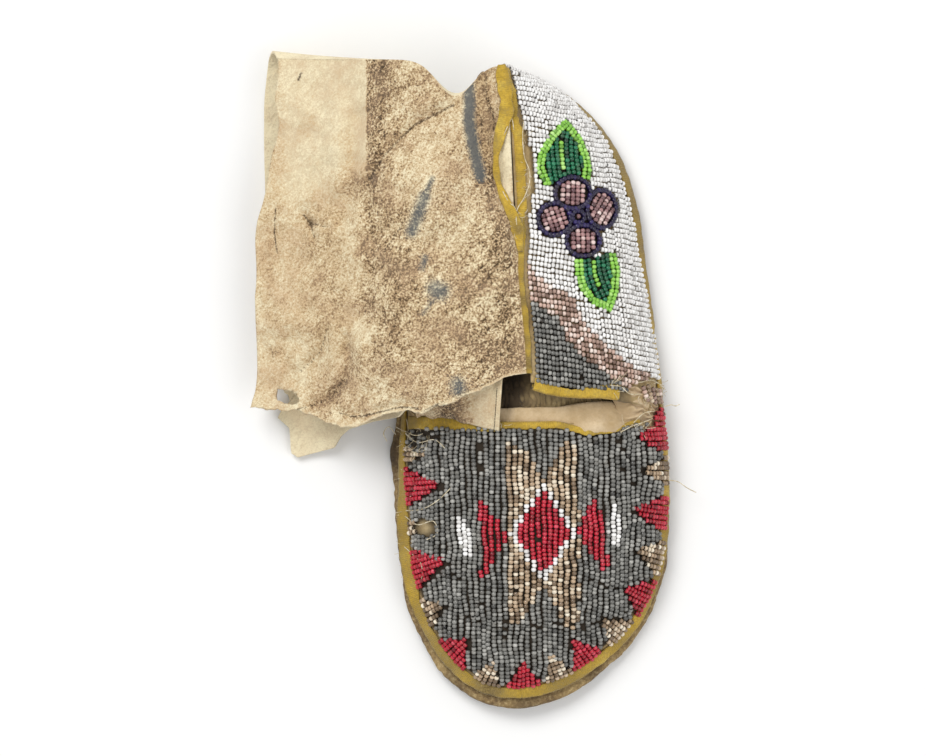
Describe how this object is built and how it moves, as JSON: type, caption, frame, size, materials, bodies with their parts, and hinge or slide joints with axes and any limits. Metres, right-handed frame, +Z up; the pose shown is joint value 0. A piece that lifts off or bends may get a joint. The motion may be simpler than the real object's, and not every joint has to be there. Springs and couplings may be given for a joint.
{
  "type": "beaded moccasin",
  "caption": "Left-foot hard-sole hide moccasin with a beaded vamp and quarters, yellow cloth edgings and a slack ankle cuff flopped to the inner side.",
  "frame": {"origin": "on the floor, under the middle of the sole, where the sole rests flat", "axes": "+X to the outer (lateral) side, +Y to the heel and -Y to the toe, +Z up"},
  "size_m": [0.157, 0.2463, 0.0476],
  "materials": {
    "rawhide": "hard rawhide, worn",
    "hide": "soft tanned hide, matt",
    "cuff_hide": "soft tanned hide, suede side, stained",
    "yellow_tape": "cotton tape, worn",
    "grey_beads": "opaque glass seed beads, glossy",
    "white_beads": "opaque glass seed beads, glossy"
  },
  "bodies": {
    "root": {"sole": "rawhide", "upper": "hide", "tongue": "hide", "cuff": "cuff_hide", "sole_tape": "yellow_tape", "throat_binding": "yellow_tape", "lateral_front_binding": "yellow_tape", "lateral_topline_binding": "yellow_tape", "medial_front_binding": "yellow_tape", "medial_topline_binding": "yellow_tape", "vamp_beadwork": "grey_beads", "lateral_beadwork": "white_beads", "medial_beadwork": "white_beads"}
  },
  "joints": []
}
